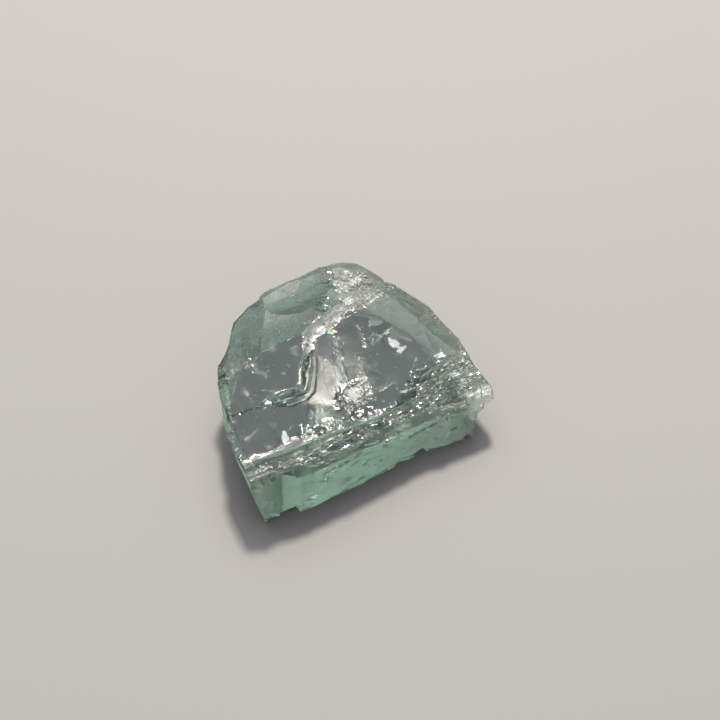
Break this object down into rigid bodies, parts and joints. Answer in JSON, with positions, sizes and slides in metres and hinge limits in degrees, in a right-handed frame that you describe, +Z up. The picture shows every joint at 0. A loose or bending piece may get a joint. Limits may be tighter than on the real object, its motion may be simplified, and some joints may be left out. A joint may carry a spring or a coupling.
{
  "type": "phosphophyllite crystal",
  "caption": "Loose blocky cleavage fragment of a pale sea-green, see-through crystal, with stepped faces, a raised cleavage plate and a flat resting face.",
  "frame": {"origin": "on the surface the crystal rests on, under the middle of its bounding box", "axes": "+X along the straight front cleavage edge, +Y to the back of the fragment, +Z up, square to the resting face"},
  "size_m": [0.0138, 0.0112, 0.0041],
  "materials": {
    "phosphophyllite": "clear pale sea-green crystal with vitreous cleavage faces and finely broken edges"
  },
  "bodies": {
    "root": {"crystal": "phosphophyllite"}
  },
  "joints": []
}
